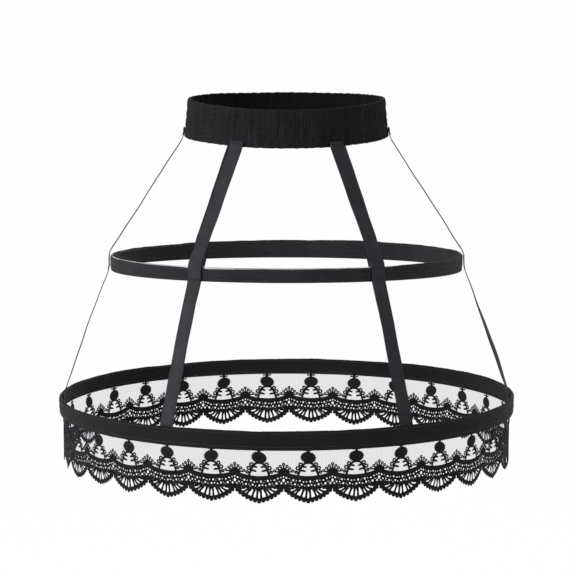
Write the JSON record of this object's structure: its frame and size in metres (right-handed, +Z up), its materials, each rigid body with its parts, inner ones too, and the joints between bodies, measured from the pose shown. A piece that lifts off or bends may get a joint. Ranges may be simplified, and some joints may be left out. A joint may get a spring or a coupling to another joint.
{
  "type": "crinoline cage",
  "caption": "Black crinoline cage with a shirred elastic waistband, flat hanging tapes, cased steel hoops and a scalloped lace hem.",
  "frame": {"origin": "centre of the waistband opening, at half the height of the waistband", "axes": "+Z up out of the waist, the front of the cage at -Y, the wearer's left at +X"},
  "size_m": [0.5599, 0.56, 0.4438],
  "materials": {
    "shirred_cotton": "matte",
    "lining_cotton": "matte",
    "elastic": "matte",
    "woven_tape": "matte",
    "casing_cotton": "satin",
    "hoop_steel": "satin",
    "connector_brass": "satin",
    "lace_thread": "matte"
  },
  "bodies": {
    "root": {"waistband_cover": "shirred_cotton", "waistband_lining": "lining_cotton", "waist_elastic_1": "elastic", "waist_elastic_2": "elastic", "waist_elastic_3": "elastic", "waist_elastic_4": "elastic", "front_right_tape": "woven_tape", "right_side_tape": "woven_tape", "back_right_tape": "woven_tape", "back_left_tape": "woven_tape", "left_side_tape": "woven_tape", "front_left_tape": "woven_tape", "upper_hoop_casing": "casing_cotton", "upper_hoop_steel": "hoop_steel", "upper_hoop_connector": "connector_brass", "lower_hoop_casing": "casing_cotton", "lower_hoop_steel": "hoop_steel", "lower_hoop_connector": "connector_brass", "lace_trim": "lace_thread"}
  },
  "joints": []
}
